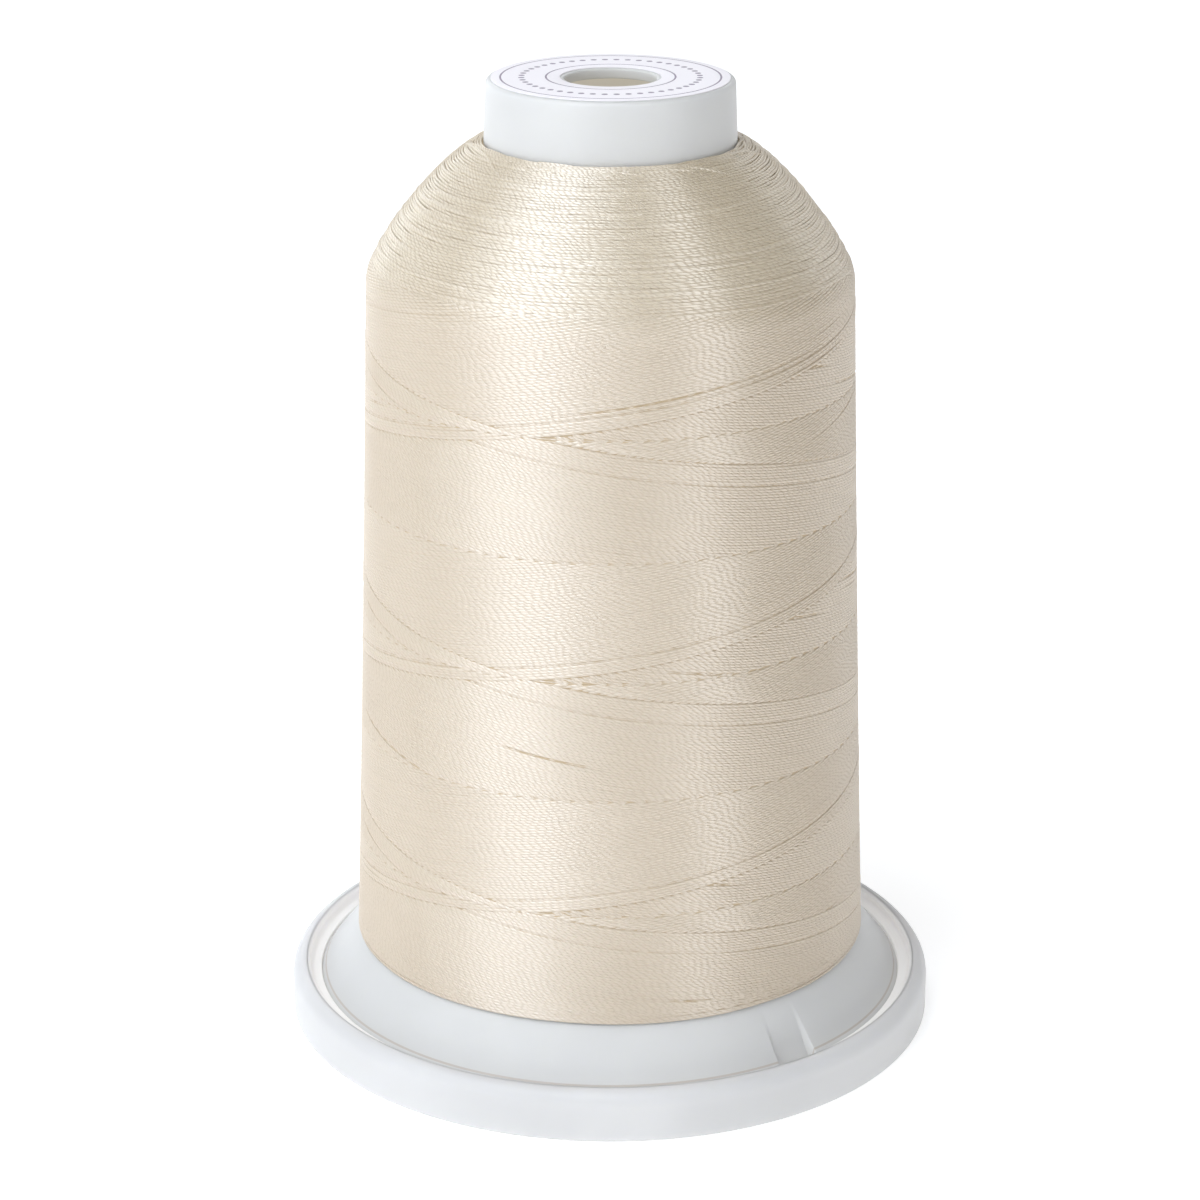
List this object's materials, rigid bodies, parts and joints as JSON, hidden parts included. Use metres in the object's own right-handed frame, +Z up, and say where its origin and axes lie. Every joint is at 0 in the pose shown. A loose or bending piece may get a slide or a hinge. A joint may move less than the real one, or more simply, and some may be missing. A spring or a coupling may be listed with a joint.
{
  "type": "cone of thread",
  "caption": "Tall cone of cross-wound embroidery thread on a hollow white plastic core with a notched flange and a round base ring.",
  "frame": {"origin": "centre of the base ring's flat foot, on the surface that the cone stands on", "axes": "+Z up along the cone's axis, -Y is the front, and the flange's notch lies 38.5 degrees from the front towards +X"},
  "size_m": [0.0786, 0.0786, 0.1154],
  "materials": {
    "ring_plastic": "satin white moulded plastic",
    "core_plastic": "satin white, slightly milky moulded plastic",
    "thread": "cream twisted thread with a satin sheen",
    "label": "smooth pale coated paper"
  },
  "bodies": {
    "root": {"base_ring": "ring_plastic", "spool_core": "core_plastic", "wound_thread": "thread", "top_label": "label"}
  },
  "joints": []
}
